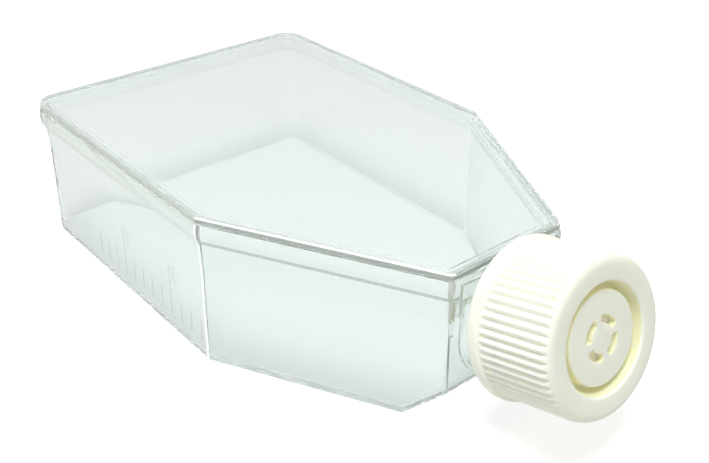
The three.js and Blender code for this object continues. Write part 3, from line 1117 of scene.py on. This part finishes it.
def onLidEdge(face):
    # the lid's rounded edge at the shoulders, which takes the painted edge highlight
    normal = face.normal
    high = face.calc_center_median().z > lidHigh.z - lidShape["edge"] * mm + near["level"]
    rounded = high and 0.05 < normal.z < 0.995
    return rounded and frontward < normal.x < 0.9 and abs(normal.y) > 0.1


def onPaintedEdgeHighlight(face):
    # the outer arcs of the shoulders' corners, and the rounded foot along the straight sides: painted
    # edge highlight
    place, normal = face.calc_center_median(), face.normal
    shoulder = lidBack + flaskPlan["sideLength"] * mm
    outward = normal.y * place.y > 0
    upright = abs(normal.z) < 0.5 and abs(place.x - shoulder) < 2.5 * mm
    corner = upright and 0.03 < normal.x < 0.5 and outward
    foot = place.z < (bodyShape["floorRound"] + 0.1) * mm and -0.99 < normal.z < -0.05
    return corner or (foot and place.x < shoulder and outward and abs(normal.x) < 0.95)


def onCapRecess(face):
    # the groove round the vent disc and the walls of the slots, which take the painted warm groove
    # shade
    place = face.calc_center_median() - neckRoot
    height = place.dot(neckAxis) / mm
    radius = (place - place.dot(neckAxis) * neckAxis).length / mm
    groove = capShape["discRadius"] - 0.1 < radius < capShape["grooveRadius"] + 0.1
    slot = abs(radius - capShape["slotRadius"]) < 1.3 and height < capDiscFace - 0.05
    return capShape["face"] - 4.5 < height < capShape["face"] - 0.5 and (groove or slot)


# floor, light and camera; places and sizes in metres but for the camera's

studio = {
    "floorSize": 6,
    "floorDrop": 0.0002,
    "floor": 0.72,
    # what is added to the floor as the camera sees it, and as gloss and clear plastic do
    "lift": 0.6, "seenLift": 0.055,
    # the light that falls on matt surfaces weakens towards the neck's side
    "sky": ((0.8, 0.79, 0.78, 1), (0.15, 0.15, 0.1, 1)),
    "white": 1, "mirrored": 0.75,                  # the sky as it is seen, and as gloss shows it
    "lampWatts": 5.1, "lampTint": (0.965, 1, 1), "lampSize": 0.31,
    "lampPlace": (0.165, -0.185, 0.75), "lampAim": (0, 0, 0.02),
    "bounces": 40,
}


def makeFloor():
    beginPiece()
    bpy.ops.mesh.primitive_plane_add(size=studio["floorSize"], location=(0, 0, -studio["floorDrop"]))
    floor = bpy.context.object
    floor.name = "studioFloor"
    material, tree = newMaterial("paleFloor")
    surface = addNode(tree, "ShaderNodeBsdfDiffuse", {"Color": [studio["floor"]] * 3 + [1]}).outputs[0]
    path = addNode(tree, "ShaderNodeLightPath")
    lifts = {"Is Camera Ray": "lift", "Is Glossy Ray": "seenLift", "Is Transmission Ray": "seenLift"}
    for ray, lift in lifts.items():
        strength = addNode(
            tree, "ShaderNodeMath", {"operation": "MULTIPLY", 1: studio[lift]}, {0: path.outputs[ray]})
        glow = addNode(tree, "ShaderNodeEmission", links={"Strength": strength.outputs[0]})
        total = addNode(tree, "ShaderNodeAddShader", links={0: surface, 1: glow.outputs[0]})
        surface = total.outputs[0]
    addNode(tree, "ShaderNodeOutputMaterial", links={"Surface": surface})
    dress(floor, material)


def makeSky():
    world = bpy.data.worlds.new("studioSky")
    bpy.context.scene.world = world
    world.use_nodes = True
    tree = world.node_tree
    tree.nodes.clear()
    path = addNode(tree, "ShaderNodeLightPath")
    place = addNode(tree, "ShaderNodeTexCoord").outputs["Generated"]
    along = addNode(tree, "ShaderNodeSeparateXYZ", links={0: place}).outputs[0]
    fall = addNode(tree, "ShaderNodeMapRange", {"From Min": -1, "From Max": 1}, {"Value": along})
    sky = addNode(tree, "ShaderNodeMix", {"data_type": "RGBA"}, {"Factor": fall.outputs[0]})
    sky.inputs[6].default_value, sky.inputs[7].default_value = studio["sky"]
    light = addNode(tree, "ShaderNodeBackground", {"Strength": 1}, {"Color": sky.outputs[2]})
    surface = light.outputs[0]
    whites = {"Is Camera Ray": "white", "Is Transmission Ray": "white", "Is Glossy Ray": "mirrored"}
    for ray, white in whites.items():
        seen = addNode(
            tree, "ShaderNodeBackground", {"Color": (1, 1, 1, 1), "Strength": studio[white]})
        mixed = addNode(
            tree, "ShaderNodeMixShader", links={0: path.outputs[ray], 1: surface, 2: seen.outputs[0]})
        surface = mixed.outputs[0]
    addNode(tree, "ShaderNodeOutputWorld", links={"Surface": surface})


def makeLamp():
    beginPiece()
    place, aim = Vector(studio["lampPlace"]), Vector(studio["lampAim"])
    bpy.ops.object.light_add(type="AREA", location=place)
    lamp = bpy.context.object
    lamp.name = "softKey"
    lamp.data.shape = "DISK"
    lamp.data.size = studio["lampSize"]
    lamp.data.energy = studio["lampWatts"]
    lamp.data.color = studio["lampTint"]
    lamp.rotation_euler = (aim - place).to_track_quat("-Z", "Y").to_euler()


cameraPlan = {
    "place": (156.96, -127.82, 139.94), "aim": (-5.6, 6.7, 12.6), "lens": 49.35, "sensor": 36,
    "nearest": 5,
}


def makeCamera():
    beginPiece()
    place, aim = Vector(cameraPlan["place"]) * mm, Vector(cameraPlan["aim"]) * mm
    bpy.ops.object.camera_add(location=place)
    camera = bpy.context.object
    camera.rotation_euler = (aim - place).to_track_quat("-Z", "Y").to_euler()
    camera.data.lens = cameraPlan["lens"]
    camera.data.sensor_width = cameraPlan["sensor"]
    camera.data.clip_start = cameraPlan["nearest"] * mm
    bpy.context.scene.camera = camera


makeCamera()
makeFloor()
makeSky()
makeLamp()
bpy.context.scene.view_settings.view_transform = "Standard"
# light runs a long way inside the clear walls before it leaves them
bpy.context.scene.cycles.max_bounces = studio["bounces"]
bpy.context.scene.cycles.transmission_bounces = studio["bounces"]
bpy.context.scene.cycles.glossy_bounces = studio["bounces"]
print("studio made")
body = makeFlaskBody()
print("flask body made")
lid = makeLid()
print("lid made")
scale = makeScale()
print("graduation made")
cap = makeCap()
print("cap made")
ventFilter = makeVentFilter()
print("filter made")
clear, seam, lighterPaintedShade, pocketShade, band, soft = (makePolystyrene(name) for name in polystyreneFinish)
dress(body, clear)
dressFaces(body, band, onBand)
dressFaces(body, lighterPaintedShade, onLedge)
dressFaces(body, pocketShade, onPocket)
# soft is the painted edge highlight
dressFaces(body, soft, onPaintedEdgeHighlight)
dress(lid, clear)
dressFaces(lid, soft, onLidEdge)
# seam is the darker painted seam shade
dressFaces(lid, seam, onSeam)
dressFaces(lid, lighterPaintedShade, onSideSeam)
dress(scale, makeRelief())
white, grooveShade = (makePolyethylene(name) for name in polyethyleneFinish)
dress(cap, white)
dressFaces(cap, grooveShade, onCapRecess)
dress(ventFilter, makeMembrane())
print("materials made")
